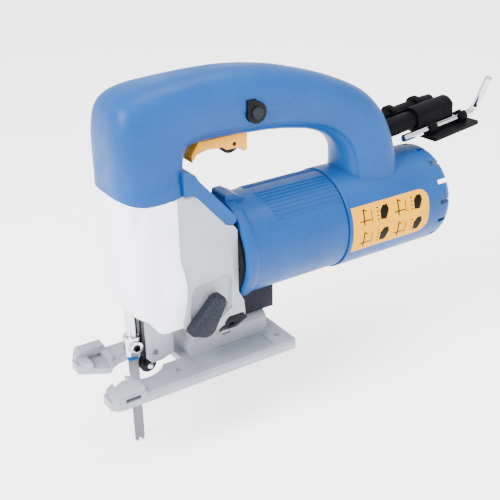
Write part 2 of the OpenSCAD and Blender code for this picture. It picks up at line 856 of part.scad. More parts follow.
// Seen from above: chamfered corners, an open fork at the front and the blade opening
module base_outline() {
    corner = 4.7;
    half_l = base_l / 2;
    half_w = base_w / 2;
    difference() {
        polygon([[-half_l, -half_w + corner], [-half_l + corner, -half_w],
                 [half_l - corner / 2, -half_w], [half_l, -half_w + corner / 2],
                 [half_l, half_w - corner / 2], [half_l - corner / 2, half_w],
                 [-half_l + corner, half_w], [-half_l, half_w - corner]]);
        polygon([[-half_l - 9, -20.5], [-half_l, -20.5], [-54.6, -9.6], [-30, -9.6], [-30, 9.6],
                 [-54.6, 9.6], [-half_l, 20.5], [-half_l - 9, 20.5]]);
        translate([opening_x, 0]) circle(opening_r);
        translate([opening_x, -9.6]) square([-8 - opening_x, 19.2]);
    }
}

module base_plate() {
    bar_x = [-70.5, -48.4];
    bar_y = [26.5, base_w / 2];
    bar_z = 13.4;
    pad_z = 9;
    color(BASE_GREY)
    difference() {
        union() {
            intersection() {
                linear_extrude(base_t) base_outline();
                front_profile([-base_l, base_l])
                    polygon([[-base_w / 2, 0], [-base_w / 2, base_t - 1.8], [-base_w / 2 + 2.2, base_t],
                             [base_w / 2 - 2.2, base_t], [base_w / 2, base_t - 1.8], [base_w / 2, 0]]);
            }
            // raised pads of the two arms, with a bar over the fence slot
            intersection() {
                linear_extrude(bar_z) base_outline();
                union() {
                    block(bar_x, [-40, 40], [1, pad_z]);
                    for (side = [-1, 1])
                        side_profile(bar_y[1] - bar_y[0] - 0.6, side * (bar_y[0] + bar_y[1] - 0.6) / 2)
                            polygon([[bar_x[0] - 1, 1], [bar_x[0] - 1, 9], [bar_x[0] + 2.5, bar_z],
                                     [bar_x[1] - 1.5, bar_z], [bar_x[1], 7], [bar_x[1], 1]]);
                }
            }
            // saddle that the tool tilts on
            intersection() {
                rod_x(saddle_x, saddle_r, z = tilt_z);
                block([-10, 70], [-saddle_half_w, saddle_half_w], [1, 40]);
            }
        }
        // fence slot, open at the top inside the bars
        block(fence_slot_x, [-40, 40], fence_slot_z);
        block(fence_slot_x, [-bar_y[0], bar_y[0]], [fence_slot_z[0], 20]);
        // hollow underside of the saddle and the slot for the clamp bolt
        rod_x([6, saddle_x[1] - 4], saddle_r - 3.3, z = tilt_z);
        block([6, saddle_x[1] - 4], [-saddle_r + 3.3, saddle_r - 3.3], [-1, tilt_z]);
        block([24, 31], [-saddle_half_w - 1, saddle_half_w + 1], [15, 40]);
        // shallow panels on the top
        for (side = [-1, 1])
            scale_side(side)
                block([-4, 56], [saddle_half_w + 2, base_w / 2 - 5], [base_t - 0.8, base_t + 1]);
        for (x = hole_x, side = [-1, 1])
            rod_z([-1, 20], accessory_hole_d / 2, x, side * hole_y);
    }
}

// Black block on the left of the tilt seat, with the hexagon that locks the base
module clamp_block_form() {
    intersection() {
        front_profile([17, 40])
            polygon([[-12.6, 18.4], [-28.9, 34.7], [-28.9, 38.5], [-26, 42], [-12.6, 42]]);
        side_profile(70)
            polygon([[17.5, 26.5], [21, 18], [35.8, 18], [35.8, 33.5], [30.5, 41.2], [23.5, 43],
                     [17.5, 35]]);
    }
}

module clamp_block() {
    color(BLACK)
    difference() {
        clamp_block_form();
        rod_y([-30, -11.5], SOCKET_R, SOCKET_POS[0], SOCKET_POS[1]);
    }
}

module clamp_bolt() {
    color(STEEL) {
        rod_z([saddle_r + tilt_z - 8, 44], 2.98, CLAMP_BOLT_X);
        // shoe inside the saddle
        intersection() {
            rod_x([24.5, 30.5], saddle_r - 3.4, z = tilt_z);
            block([20, 40], [-5, 5], [16, 30]);
        }
    }
}

// Screw with a key socket that works the clamp from the left
module clamp_socket() {
    color(STEEL)
    difference() {
        intersection() {
            rod_y([-30, -11.6], SOCKET_R - 0.02, SOCKET_POS[0], SOCKET_POS[1]);
            // flush with the slanted face of the block
            front_profile([15, 40])
                polygon([[-11, 17], [-12.5, 18.7], [-28.2, 34.4], [-28.2, 40], [-11, 40]]);
        }
        translate([SOCKET_POS[0], -29, SOCKET_POS[1]]) rotate([-90, 0, 0])
            cylinder(r = 2.2, h = 8, $fn = 6);
    }
}

module dust_nozzle() {
    skin = 2;
    color(DARK_GREY)
    difference() {
        block([34.3, 68], [-12, 12], [25.3, 46]);
        block([33, 70], [-12 + skin, 12 - skin], [25.3 + skin, 39.3]);
        rod_x([30, FLANGE_X[1] + 0.1], FLANGE_R + 0.1, z = motor_z);
        rod_x([30, 80], barrel_r + 0.1, z = motor_z);
    }
}

// ---- controls ----

module switch_body() {
    color(BLACK)
    union() {
        block([16, 52], [-8, 8], [171, 191]);
        block([22, 28], [-3, 3], [169.4, 171]);
    }
}

module speed_controller() color(BLACK) block([-26, -6], [-13, 13], [168, 186]);

module capacitor() color(YELLOW) rod_y([-11, 11], 6, -16, 152);

module trigger() {
    color(YELLOW)
    difference() {
        union() {
            side_profile(16)
                polygon([[8.6, 147], [12, 151.6], [20, 153.6], [32, 153], [35, 150.5], [47, 150.5],
                         [48.6, 146.8], [50.8, 148], [51.2, 160], [14, 160], [8.4, 152]]);
            block([20, 30], [-5, 5], [159, 163.5]);
        }
        rod_y([-2.9, 2.9], dial_r + 0.4, dial_pos[0], dial_pos[1]);
        rod_y([-8.5, 8.5], 1.5, dial_pos[0], dial_pos[1]);
    }
}

module speed_dial() {
    ticks = 24;
    color(BLACK)
    difference() {
        union() {
            rod_y([-2.6, 2.6], dial_r, dial_pos[0], dial_pos[1]);
            rod_y([-7.9, 7.9], 1.45, dial_pos[0], dial_pos[1]);
        }
        for (i = [0:ticks - 1])
            translate([dial_pos[0], 0, dial_pos[1]]) rotate([0, i * 360 / ticks, 0])
                block([dial_r - 0.7, dial_r + 1], [-3, 3], [-0.35, 0.35]);
    }
}

LOCK_FACE_Y = -19.4;

module lock_bezel() {
    color(BLACK)
    difference() {
        union() {
            rod_y([LOCK_FACE_Y, -12], 7.3, lock_pos[0], lock_pos[1]);
            block([lock_pos[0] - 7.3, lock_pos[0] - 0.1], [LOCK_FACE_Y, -17],
                  [lock_pos[1], lock_pos[1] + 9]);
        }
        rod_y([-30, 0], 4.05, lock_pos[0], lock_pos[1]);
    }
}

module lock_button() {
    color(DARK_GREY)
    union() {
        rod_y([LOCK_FACE_Y - 2, -10.6], 3.95, lock_pos[0], lock_pos[1]);
        rod_y([-11.9, -10.6], 5, lock_pos[0], lock_pos[1]);
    }
}

// Local frame of the cord guard: X along the cord, leaving the handle
module at_guard() {
    translate(guard_pos) rotate(guard_turn) children();
}

module cord_guard() {
    color(BLACK)
    at_guard()
        difference() {
            union() {
                rod_x([-10, 12], 7.1);
                translate([12, 0, 0]) rotate([0, 90, 0]) cylinder(r1 = 7.1, r2 = 6, h = guard_len - 12);
            }
            rod_x([-11, guard_len + 1], 3.8);
            for (i = [0:4])
                ring_x([guard_len - 5 - i * 3, guard_len - 3.8 - i * 3], 9, 5.2, 0);
        }
}

CLIP_X = [[38, 45], [72, 79]];

// Rubber holder that is clipped on the cord guard and carries the hexagon key
module key_holder() {
    color(BLACK)
    at_guard()
        difference() {
            union() {
                rod_x([30, 69], 9.4);
                // plate under the key
                block([36, 86], [-20, -1], [-14.6, -11.4]);
                block([36, 69], [-12, 0], [-12, -5]);
                for (x = CLIP_X) {
                    rod_x(x, 5, key_offset[0], key_offset[1]);
                    block(x, [key_offset[0] - 4, key_offset[0] + 4], [-12, -6]);
                }
                // second holder on the far side
                block([16, 66], [7, 19], [0.5, 6]);
                rod_x([8, 66], 5, 13, 3);
                for (x = [18, 46])
                    rod_x([x, x + 4], 7, 13, 4);
            }
            rod_x([20, 75], 7.12);
            rod_x([20, 95], key_across_flats / sqrt(3) + 0.05, key_offset[0], key_offset[1]);
            block([30, 90], [key_offset[0] - 1.6, key_offset[0] + 1.6], [key_offset[1], 8]);
        }
}

module hex_key() {
    hex_r = key_across_flats / sqrt(3);
    bend_r = 6;
    color(STEEL)
    at_guard() translate([11.5, key_offset[0], key_offset[1]]) rotate([key_lean, 0, 0])
        union() {
            rotate([0, 90, 0]) cylinder(r = hex_r, h = key_long - bend_r, $fn = 6);
            translate([key_long - bend_r, 0, bend_r]) rotate([90, 0, 0])
                rotate([0, 0, -90]) rotate_extrude(angle = 90) translate([bend_r, 0])
                    circle(hex_r, $fn = 6);
            translate([key_long, 0, bend_r]) cylinder(r = hex_r, h = key_short - bend_r, $fn = 6);
        }
}

LABEL_X = [120.5, 192];
LABEL_ANGLE = 88;
LABEL_HALF_CHORD = 17.2;

// Self-adhesive label on the left of the rear cover
module rating_label() {
    color(YELLOW)
    intersection() {
        ring_x(LABEL_X, rear_r + 0.35, rear_r + 0.01, motor_z);
        translate([0, 0, motor_z]) rotate([LABEL_ANGLE, 0, 0])
            block(LABEL_X, [-LABEL_HALF_CHORD, LABEL_HALF_CHORD], [0, 60]);
    }
}

gear_housing();
front_cover();
roller_bracket();
arm_pin();
gear_axle();
front_bearing();
lower_bushing();
upper_bushing();
handle_left();
handle_right();
handle_screws();
cover_screws();
fan_baffle();
motor_housing();
rear_cover();
stator_core();
field_coils();
brush_plate();
brush_holders();
carbon_brushes();
rear_bearing();
dust_nozzle();
clamp_block();
clamp_bolt();
clamp_socket();
switch_body();
speed_controller();
capacitor();
lock_bezel();
cord_guard();
key_holder();
rating_label();
armature_shaft();
armature_core();
armature_windings();
commutator();
cooling_fan();
crank_gear();
crank_pin();
counterweight();
plunger_rod();
plunger_yoke();
blade_clamp();
clamp_screw();
blade();
roller_arm();
roller_pin();
roller();
orbital_lever();
orbital_shaft();
base_plate();
trigger();
speed_dial();
lock_button();
hex_key();
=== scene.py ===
"""Looks of a corded orbital jigsaw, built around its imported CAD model."""
import json
import math

import bmesh
import bpy
from mathutils import Matrix, Vector


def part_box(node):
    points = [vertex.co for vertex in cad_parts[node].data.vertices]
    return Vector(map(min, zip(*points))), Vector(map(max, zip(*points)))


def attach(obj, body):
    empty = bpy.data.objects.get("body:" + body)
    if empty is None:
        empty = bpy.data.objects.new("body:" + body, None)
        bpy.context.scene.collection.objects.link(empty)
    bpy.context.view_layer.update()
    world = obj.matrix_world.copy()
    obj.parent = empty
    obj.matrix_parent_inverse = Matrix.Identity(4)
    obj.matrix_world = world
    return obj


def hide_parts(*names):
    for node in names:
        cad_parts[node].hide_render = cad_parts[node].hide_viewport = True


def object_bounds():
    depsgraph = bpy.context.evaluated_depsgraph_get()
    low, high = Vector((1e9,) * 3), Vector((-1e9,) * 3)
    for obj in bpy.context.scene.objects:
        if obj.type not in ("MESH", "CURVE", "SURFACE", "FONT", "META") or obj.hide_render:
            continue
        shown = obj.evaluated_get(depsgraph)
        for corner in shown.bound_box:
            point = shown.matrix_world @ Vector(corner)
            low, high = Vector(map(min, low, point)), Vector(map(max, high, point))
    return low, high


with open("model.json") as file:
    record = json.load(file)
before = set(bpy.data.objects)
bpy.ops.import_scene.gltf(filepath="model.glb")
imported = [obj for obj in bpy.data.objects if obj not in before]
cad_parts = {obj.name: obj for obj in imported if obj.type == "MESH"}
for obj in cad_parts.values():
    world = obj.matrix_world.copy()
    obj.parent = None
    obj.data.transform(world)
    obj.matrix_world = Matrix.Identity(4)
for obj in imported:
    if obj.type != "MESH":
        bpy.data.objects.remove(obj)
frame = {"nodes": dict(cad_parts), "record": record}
cad_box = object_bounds()
NODES = frame["nodes"]
MM = 0.001


def at(x, y, z):
    """A point given in millimetres."""
    return Vector((x, y, z)) * MM


def smoothstep(low, high, value):
    t = min(1.0, max(0.0, (value - low) / (high - low)))
    return t * t * (3 - 2 * t)


# ---- camera, light and floor ----


def add_camera():
    right = Vector((0.83834, -0.54488, -0.01683))
    up = Vector((0.25032, 0.35734, 0.89980))
    back = Vector((-0.48427, -0.75856, 0.43597))
    data = bpy.data.cameras.new("camera")
    data.lens = 67.49
    data.sensor_width = 36
    camera = bpy.data.objects.new("camera", data)
    rotation = Matrix((right, up, back)).transposed().to_4x4()
    camera.matrix_world = Matrix.Translation((-0.26674, -0.50671, 0.35952)) @ rotation
    bpy.context.scene.collection.objects.link(camera)
    bpy.context.scene.camera = camera


def add_light(name, place, size, power, aim=(0.06, 0, 0.08)):
    data = bpy.data.lights.new(name, "AREA")
    data.size = size
    data.energy = power
    light = bpy.data.objects.new(name, data)
    light.location = place
    light.rotation_euler = (Vector(aim) - Vector(place)).to_track_quat("-Z", "Y").to_euler()
    bpy.context.scene.collection.objects.link(light)


def add_floor():
    low_z = cad_box[0][2] - 0.0005
    bpy.ops.mesh.primitive_plane_add(size=12, location=(0, 0, low_z))
    floor = bpy.context.object
    floor.name = "floor"
    material = bpy.data.materials.new("floor_paper")
    material.use_nodes = True
    shader = material.node_tree.nodes["Principled BSDF"]
    shader.inputs["Base Color"].default_value = (0.97, 0.97, 0.97, 1)
    shader.inputs["Roughness"].default_value = 0.9
    shader.inputs["Emission Color"].default_value = (1, 1, 1, 1)
    shader.inputs["Emission Strength"].default_value = 1.4
    floor.data.materials.append(material)


def add_world():
    world = bpy.data.worlds.new("studio")
    world.use_nodes = True
    background = world.node_tree.nodes["Background"]
    background.inputs["Color"].default_value = (1, 1, 1, 1)
    background.inputs["Strength"].default_value = 2.1
    bpy.context.scene.world = world


# ---- materials ----


def material_base(name, metallic, shine=0.5):
    material = bpy.data.materials.new(name)
    material.use_nodes = True
    nodes = material.node_tree.nodes
    shader = nodes["Principled BSDF"]
    shader.inputs["Specular IOR Level"].default_value = shine
    shader.inputs["Metallic"].default_value = metallic
    coords = nodes.new("ShaderNodeTexCoord")
    return material, nodes, material.node_tree.links, shader, coords.outputs["Object"]


def noise(nodes, links, coords, scale, detail=3.0):
    node = nodes.new("ShaderNodeTexNoise")
    node.inputs["Scale"].default_value = scale
    node.inputs["Detail"].default_value = detail
    links.new(coords, node.inputs["Vector"])
    return node.outputs["Fac"]


def ramp(nodes, links, value, low, high):
    """Colours or greys from low to high, as value goes from 0.3 to 0.7."""
    node = nodes.new("ShaderNodeValToRGB")
    first, last = node.color_ramp.elements
    first.position, last.position = 0.3, 0.7
    first.color, last.color = (*low, 1), (*high, 1)
    links.new(value, node.inputs["Fac"])
    return node.outputs["Color"]


def bump(nodes, links, shader, height, distance, strength, chained=None):
    node = nodes.new("ShaderNodeBump")
    node.inputs["Distance"].default_value = distance
    node.inputs["Strength"].default_value = strength
    links.new(height, node.inputs["Height"])
    if chained is not None:
        links.new(chained, node.inputs["Normal"])
    links.new(node.outputs["Normal"], shader.inputs["Normal"])
    return node.outputs["Normal"]


def tint(color, factor):
    return tuple(min(1.0, c * factor) for c in color)


def moulded(name, color, rough, grain=1300.0, depth=0.00006, spread=0.10, flecks=0.0, shine=0.1):
    """Moulded plastic or rubber: fine spark grain, slow colour drift and rubbed patches."""
    material, nodes, links, shader, coords = material_base(name, 0.0, shine)
    drift = noise(nodes, links, coords, 28, 4)
    fine = noise(nodes, links, coords, grain, 2)
    base = ramp(nodes, links, drift, tint(color, 1 - spread), tint(color, 1 + spread))
    if flecks:
        mix = nodes.new("ShaderNodeMix")
        mix.data_type = "RGBA"
        mix.blend_type = "MULTIPLY"
        mix.inputs["Factor"].default_value = flecks
        links.new(base, mix.inputs["A"])
        links.new(ramp(nodes, links, fine, (0.55, 0.55, 0.55), (1.6, 1.6, 1.6)), mix.inputs["B"])
        base = mix.outputs["Result"]
    links.new(base, shader.inputs["Base Color"])
    patches = noise(nodes, links, coords, 60, 5)
    patches = ramp(nodes, links, patches, (rough - 0.07,) * 3, (rough + 0.07,) * 3)
    links.new(patches, shader.inputs["Roughness"])
    first = bump(nodes, links, shader, fine, depth, 0.35)
    bump(nodes, links, shader, drift, depth * 6, 0.10, first)
    return material


def metal(name, color, rough, stretch=(1, 1, 1), scale=900.0, depth=0.00002, metallic=1.0):
    """Metal with fine machining or blasting marks; stretch sets their direction."""
    material, nodes, links, shader, coords = material_base(name, metallic)
    mapping = nodes.new("ShaderNodeMapping")
    mapping.inputs["Scale"].default_value = stretch
    links.new(coords, mapping.inputs["Vector"])
    marks = noise(nodes, links, mapping.outputs["Vector"], scale, 3)
    drift = noise(nodes, links, coords, 40, 4)
    links.new(ramp(nodes, links, drift, tint(color, 0.88), tint(color, 1.08)), shader.inputs["Base Color"])
    polish = ramp(nodes, links, marks, (rough * 0.75,) * 3, (rough * 1.3,) * 3)
    links.new(polish, shader.inputs["Roughness"])
    bump(nodes, links, shader, marks, depth, 0.3)
    return material


def blade_material(blued_z):
    """Brushed blade steel with a blue lacquered band under the shank."""
    material, nodes, links, shader, coords = material_base("blade_steel", 1.0)
    split = nodes.new("ShaderNodeSeparateXYZ")
    links.new(coords, split.inputs["Vector"])
    mapping = nodes.new("ShaderNodeMapping")
    mapping.inputs["Scale"].default_value = (1, 1, 12)
    links.new(coords, mapping.inputs["Vector"])
    marks = noise(nodes, links, mapping.outputs["Vector"], 300, 4)
    steel = ramp(nodes, links, marks, (0.10, 0.10, 0.115), (0.17, 0.17, 0.19))
    band = nodes.new("ShaderNodeMapRange")
    band.inputs["From Min"].default_value = blued_z[0] - 0.0006
    band.inputs["From Max"].default_value = blued_z[0] + 0.0006
    links.new(split.outputs["Z"], band.inputs["Value"])
    mix = nodes.new("ShaderNodeMix")
    mix.data_type = "RGBA"
    links.new(band.outputs["Result"], mix.inputs["Factor"])
    links.new(steel, mix.inputs["A"])
    mix.inputs["B"].default_value = (0.004, 0.07, 0.26, 1)
    links.new(mix.outputs["Result"], shader.inputs["Base Color"])
    links.new(ramp(nodes, links, marks, (0.32,) * 3, (0.5,) * 3), shader.inputs["Roughness"])
    bump(nodes, links, shader, marks, 0.00003, 0.3)
    return material


BLUE = (0.004, 0.052, 0.200)
PAINTS = {
    "blue": moulded("blue_plastic", BLUE, 0.42, flecks=0.22, shine=0.16),
    "white": moulded("white_cover", (0.86, 0.89, 0.96), 0.38, depth=0.00003, spread=0.03, shine=0.3),
    "cast": metal("cast_grey", (0.30, 0.32, 0.36), 0.45, scale=1500, depth=0.00006, metallic=0.0),
    "base": metal("base_aluminium", (0.25, 0.27, 0.31), 0.42, scale=1600, depth=0.00005, metallic=0.2),
    "black": moulded("black_plastic", (0.0015, 0.0015, 0.003), 0.42, spread=0.2, shine=0.12),
    "rubber": moulded("black_rubber", (0.001, 0.001, 0.002), 0.6, grain=1800, spread=0.2, shine=0.06),
    "grey": moulded("grey_plastic", (0.012, 0.014, 0.021), 0.5, grain=1000, depth=0.0001, flecks=0.8),
    "nozzle": moulded("nozzle_plastic", (0.006, 0.007, 0.014), 0.5, flecks=0.4),
    "yellow": moulded("yellow_plastic", (0.78, 0.33, 0.01), 0.33, depth=0.00003, spread=0.04, shine=0.2),
    "label": moulded("label_film", (0.75, 0.33, 0.0), 0.3, depth=0.00001, spread=0.02, shine=0.05),
    "ink": moulded("label_ink", (0.006, 0.0045, 0.002), 0.4, depth=0.00001, shine=0.05),
    "chrome": metal("bright_steel", (0.60, 0.60, 0.62), 0.10, (1, 1, 0.05), 700, 0.000004),
    "steel": metal("steel", (0.22, 0.22, 0.24), 0.3, (0.05, 1, 1)),
    "dark_steel": metal("dark_steel", (0.012, 0.012, 0.015), 0.38),
    "copper": metal("copper", (0.40, 0.12, 0.05), 0.35, (0.1, 1, 1), 2500, 0.0001),
    "bronze": metal("bronze", (0.30, 0.18, 0.06), 0.4, scale=2500),
    "carbon": moulded("carbon", (0.008, 0.008, 0.008), 0.65),
    "blade": blade_material((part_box("blade_clamp")[0].z - 0.0058, 0)),
}
SLOT_PAINT = {
    "blue_plastic": "blue", "white_cover": "white", "cast_grey": "cast", "base_aluminium": "base",
    "black_plastic": "black", "black_rubber": "rubber", "grey_plastic": "grey", "yellow_plastic": "yellow",
    "label_film": "label", "bright_steel": "chrome", "steel": "steel", "blade_steel": "blade",
    "dark_steel": "dark_steel", "copper": "copper", "bronze": "bronze", "carbon": "carbon",
}


def paint_cad_nodes():
    for part in frame["record"]["subparts"]:
        mesh = NODES[part["node"]].data
        mesh.materials.clear()
        mesh.materials.append(PAINTS[SLOT_PAINT[part["material_slot"]]])


# ---- mesh tools ----


def make_object(name, mesh, paint):
    obj = bpy.data.objects.new(name, mesh)
    bpy.context.scene.collection.objects.link(obj)
    mesh.materials.clear()
    mesh.materials.append(PAINTS[paint])
    return obj


def mesh_from(name, points, faces):
    mesh = bpy.data.meshes.new(name)
    mesh.from_pydata([tuple(p) for p in points], [], faces)
    work = bmesh.new()
    work.from_mesh(mesh)
    bmesh.ops.remove_doubles(work, verts=work.verts, dist=1e-6)
    bmesh.ops.recalc_face_normals(work, faces=work.faces)
    work.to_mesh(mesh)
    work.free()
    return mesh


def loft(name, rings):
    """Closed form through rings of equal length, with a flat cap at each end."""
    n = len(rings[0])
    points = [p for ring in rings for p in ring]
    faces = []
    for r in range(len(rings) - 1):
        for i in range(n):
            j = (i + 1) % n
            faces.append((r * n + i, r * n + j, (r + 1) * n + j, (r + 1) * n + i))
    faces.append(tuple(reversed(range(n))))
    faces.append(tuple((len(rings) - 1) * n + i for i in range(n)))
    return mesh_from(name, points, faces)


def lathe(name, profile, center_z, steps=160):
    """Closed form of revolution about the axis through (y 0, center_z), from (x, radius) points."""
    rings = []
    for i in range(steps):
        a = 2 * math.pi * i / steps
        rings.append([at(x, -r * math.sin(a), center_z + r * math.cos(a)) for x, r in profile])
    n = len(profile)
    points = [p for ring in rings for p in ring]
    faces = []
    for s in range(steps):
        t = (s + 1) % steps
        for i in range(n):
            j = (i + 1) % n
            faces.append((s * n + i, s * n + j, t * n + j, t * n + i))
    return mesh_from(name, points, faces)


def prism_y(name, outline, y_low, y_high):
    """Extrudes an outline of (x, z) points along Y."""
    rings = [[at(x, y, z) for x, z in outline] for y in (y_low, y_high)]
    return loft(name, rings)


def box_mesh(name, x, y, z):
    outline = [(x[0], z[0]), (x[1], z[0]), (x[1], z[1]), (x[0], z[1])]
    return prism_y(name, outline, y[0], y[1])


def cylinder(name, start, end, radius, sides=64):
    """Round bar between two points in millimetres."""
    a, b = Vector(start), Vector(end)
    axis = (b - a).normalized()
    side = axis.orthogonal().normalized()
    other = axis.cross(side)
    rings = []
    for p in (a, b):
        turns = [2 * math.pi * i / sides for i in range(sides)]
        rings.append([at(*(p + radius * (math.cos(t) * side + math.sin(t) * other))) for t in turns])
    return loft(name, rings)


def apply_all(obj):
    """The object's mesh with its modifiers applied, as its own mesh."""
    bpy.context.view_layer.update()
    evaluated = obj.evaluated_get(bpy.context.evaluated_depsgraph_get())
    mesh = bpy.data.meshes.new_from_object(evaluated)
    obj.modifiers.clear()
    obj.data = mesh
    return obj


def boolean(obj, operation, *meshes):
    """Joins the meshes to the object, or cuts them from it."""
    for mesh in meshes:
        tool = bpy.data.objects.new("tool", mesh)
        bpy.context.scene.collection.objects.link(tool)
        step = obj.modifiers.new("step", "BOOLEAN")
        step.operation = operation
        step.solver = "EXACT"
        step.object = tool
        apply_all(obj)
        bpy.data.objects.remove(tool)
    return obj


def round_edges(obj, width, segments=3, angle=32):
    """Rounds the edges that are sharper than angle, and shades the rest smooth."""
    work = bmesh.new()
    work.from_mesh(obj.data)
    bmesh.ops.remove_doubles(work, verts=work.verts, dist=2e-6)
    bmesh.ops.dissolve_limit(work, angle_limit=math.radians(1.0), verts=work.verts, edges=work.edges)
    work.to_mesh(obj.data)
    work.free()
    if width:
        step = obj.modifiers.new("round", "BEVEL")
        step.width = width * MM
        step.segments = segments
        step.limit_method = "ANGLE"
        step.angle_limit = math.radians(angle)
        step.harden_normals = False
        apply_all(obj)
    for face in obj.data.polygons:
        face.use_smooth = True
    obj.data.set_sharp_from_angle(angle=math.radians(angle))
    return obj


def finish_piece(obj, body, slot, *replaced):
    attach(obj, body)
    if replaced:
        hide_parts(*replaced)
    return obj


NODE_BODY = {n: b for b, ns in frame["record"]["behaviour"]["bodies"].items() for n in ns}
NODE_SLOT = {p["node"]: p["material_slot"] for p in frame["record"]["subparts"]}


def rounded_copy(node, width, paint=None, segments=3, extra=None):
    """A piece with the CAD node's form and rounded edges, which stands for the node."""
    slot = NODE_SLOT[node]
    mesh = NODES[node].data.copy()
    obj = make_object(node + "_detailed", mesh, paint or SLOT_PAINT[slot])
    work = bmesh.new()
    work.from_mesh(mesh)
    bmesh.ops.remove_doubles(work, verts=work.verts, dist=2e-6)
    work.to_mesh(mesh)
    work.free()
    if extra:
        extra(obj)
    round_edges(obj, width, segments)
    return finish_piece(obj, NODE_BODY[node], slot, node)


# ---- handle ----

# Stations along the handle, from the head over the grip to the rear post, in millimetres:
# inner point (x, z), outer point (x, z), half width, exponent of the section
STATIONS = [
    (-1, 133, -50, 133, 28.5, 3.6), (-1, 146, -50.3, 164, 28.5, 3.6),
    (0, 152.5, -49.5, 181, 28, 3.4), (1.8, 156, -46.5, 192.5, 27, 3.2),
    (4, 158, -39.5, 199.5, 25.5, 3), (6.8, 159, -28, 203, 24, 2.9),
    (10, 159.2, -12, 204.6, 22.4, 2.8), (15, 159.2, 5, 205.6, 20.8, 2.7),
    (23, 159, 21, 206, 19.6, 2.6), (37, 158.5, 39, 205.4, 18.8, 2.6),
    (53, 157.6, 59, 203, 18.4, 2.6), (70, 156.4, 79, 199, 18.1, 2.6),
    (87, 154, 98, 193.6, 18, 2.6), (103, 150.4, 116, 187.6, 18.1, 2.6),
    (116, 145, 134, 180, 18.5, 2.6), (125, 138, 150, 171, 19.2, 2.7),
    (130.5, 129.5, 162.5, 158.5, 20.2, 2.8), (132.5, 120, 170.5, 144, 21.4, 3),
    (132.8, 110.5, 176, 126, 22.6, 3.2), (132, 99, 180, 99, 24, 3.4)]
STEPS_BETWEEN = 9
HANDLE_SIDES = 112
SHELL_WALL = 2.6
MOTOR_Z = 78
SEAM_X = -14.5
# Bands around the hand opening: where each starts, from 1 at the inner edge to -1 at the outer
# edge, and how much narrower it makes the handle
BANDS = [(0.13, 0.035), (0.68, 0.10)]
# The skirt at the foot of the head is wider than the head above it
SKIRT_TOP = 141.2
SKIRT_DEPTH = 0.034


def spline(values, t):
    """Catmull-Rom value of a list of tuples at t, from 0 to the last index."""
    i = min(int(t), len(values) - 2)
    f = t - i
    last = len(values) - 1
    p0, p1, p2, p3 = (values[min(max(i + k, 0), last)] for k in (-1, 0, 1, 2))
    return [0.5 * (2 * b + (c - a) * f + (2 * a - 5 * b + 4 * c - d) * f * f
                   + (3 * b - a - 3 * c + d) * f ** 3) for a, b, c, d in zip(p0, p1, p2, p3)]


def spline_points(points, steps):
    count = (len(points) - 1) * steps
    return [tuple(spline(points, i / steps)) for i in range(count + 1)]


def power_sign(value, exponent):
    return math.copysign(abs(value) ** exponent, value)


def handle_ring(station, inset):
    ix, iz, ox, oz, half, n = station
    inner, outer = Vector((ix, iz)), Vector((ox, oz))
    middle, direction = (inner + outer) / 2, (outer - inner).normalized()
    reach = (outer - inner).length / 2 - inset
    ring = []
    for i in range(HANDLE_SIDES):
        t = 2 * math.pi * (i + 0.5) / HANDLE_SIDES
        u = power_sign(math.cos(t), 2 / n)
        y = (half - inset) * power_sign(math.sin(t), 2 / n)
        for start, depth in BANDS:
            y *= 1 - depth * smoothstep(start, start + 0.07, -u)
        place = middle + direction * (u * reach)
        above_skirt = smoothstep(SKIRT_TOP, SKIRT_TOP + 1.6, place.y)
        y *= 1 - SKIRT_DEPTH * above_skirt * smoothstep(150, 120, place.x)
        ring.append(at(place.x, y, place.y))
    return ring


def handle_form(inset=0.0):
    count = (len(STATIONS) - 1) * STEPS_BETWEEN
    stations = [spline(STATIONS, i / STEPS_BETWEEN) for i in range(count + 1)]
    if inset:
        for end in (0, -1):
            stations[end][1] -= 2
            stations[end][3] -= 2
    return loft("handle_form", [handle_ring(s, inset) for s in stations])


def rounded_outline(corners, steps=8):
    """Closed outline through (x, z, radius) corners, with an arc at each."""
    outline = []
    count = len(corners)
    for i, (x, z, radius) in enumerate(corners):
        here = Vector((x, z))
        before = (Vector(corners[i - 1][:2]) - here).normalized()
        after = (Vector(corners[(i + 1) % count][:2]) - here).normalized()
        if radius == 0:
            outline.append(here)
            continue
        half = before.angle(after) / 2
        start, end = here + before * radius / math.tan(half), here + after * radius / math.tan(half)
        centre = here + (before + after).normalized() * radius / math.sin(half)
        a, b = start - centre, end - centre
        for k in range(steps + 1):
            part = a.lerp(b, k / steps).normalized() * radius
            outline.append(centre + part)
    return outline


def head_edge(gap):
    """Side view of the head's lower edge over the front cover, from its nose back."""
    line = spline_points([(-60, 139.1), (-50, 137.2), (-44, 135.3), (-38, 133.9), (-32, 133.25),
                          (SEAM_X + 0.5, 133.2)], 5)
    return [(x, z + gap) for x, z in line]


